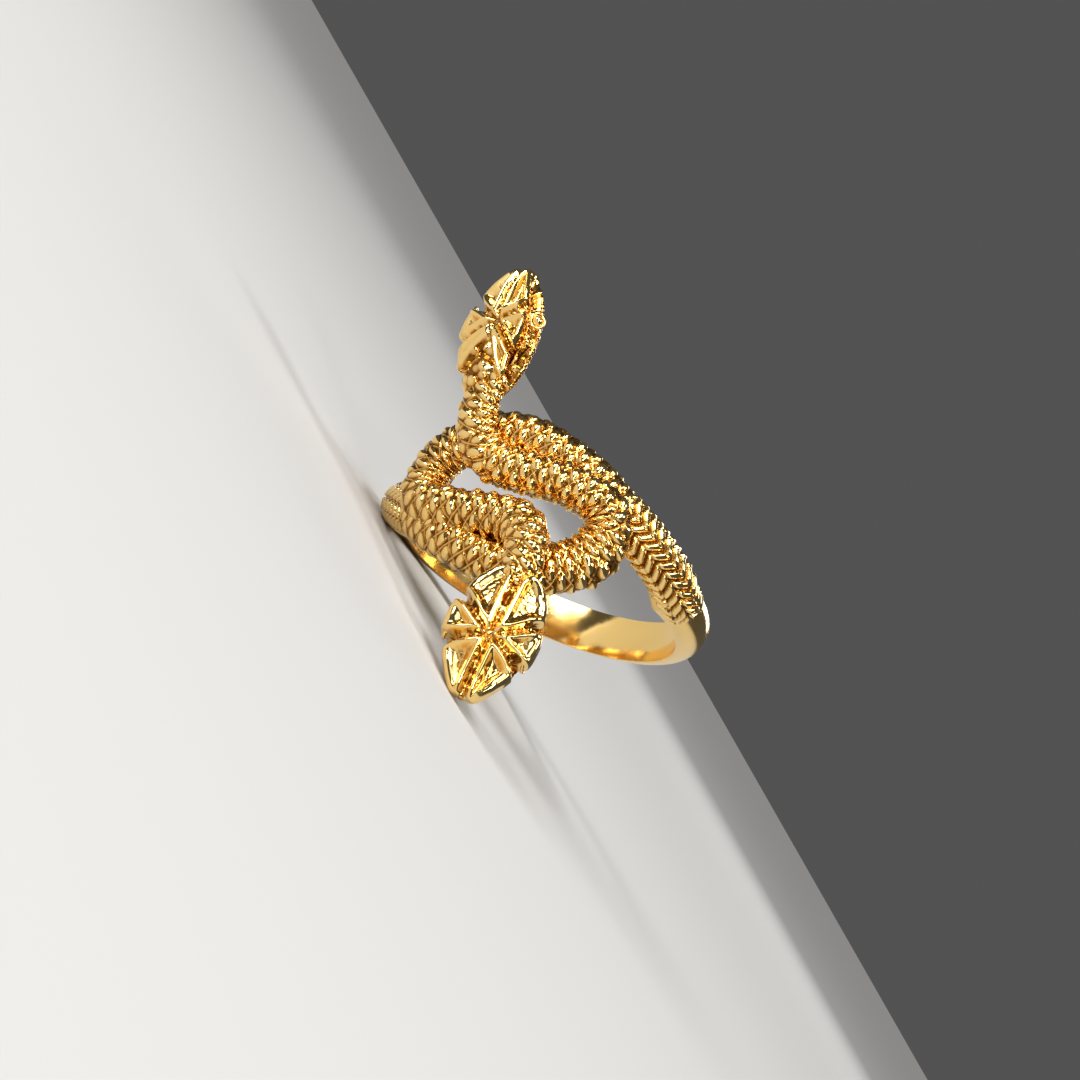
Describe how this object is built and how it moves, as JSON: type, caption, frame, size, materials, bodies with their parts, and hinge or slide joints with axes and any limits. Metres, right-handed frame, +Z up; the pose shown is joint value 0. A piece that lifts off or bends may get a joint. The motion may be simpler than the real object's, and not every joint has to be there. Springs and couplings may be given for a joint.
{
  "type": "snake wrap ring",
  "caption": "Gold finger ring whose half-round shank grows into two scaled serpents that loop over the finger, cross and end in plated heads, one pointing each way along the finger.",
  "frame": {"origin": "middle of the ring's bounding box at the surface it lies on", "axes": "+Z up from the surface, +Y across the ring's longest extent and away from the face, +X to the right of someone who looks at the face"},
  "size_m": [0.0248, 0.0268, 0.015],
  "materials": {
    "gold": "polished yellow gold"
  },
  "bodies": {
    "root": {"ring": "gold"}
  },
  "joints": []
}
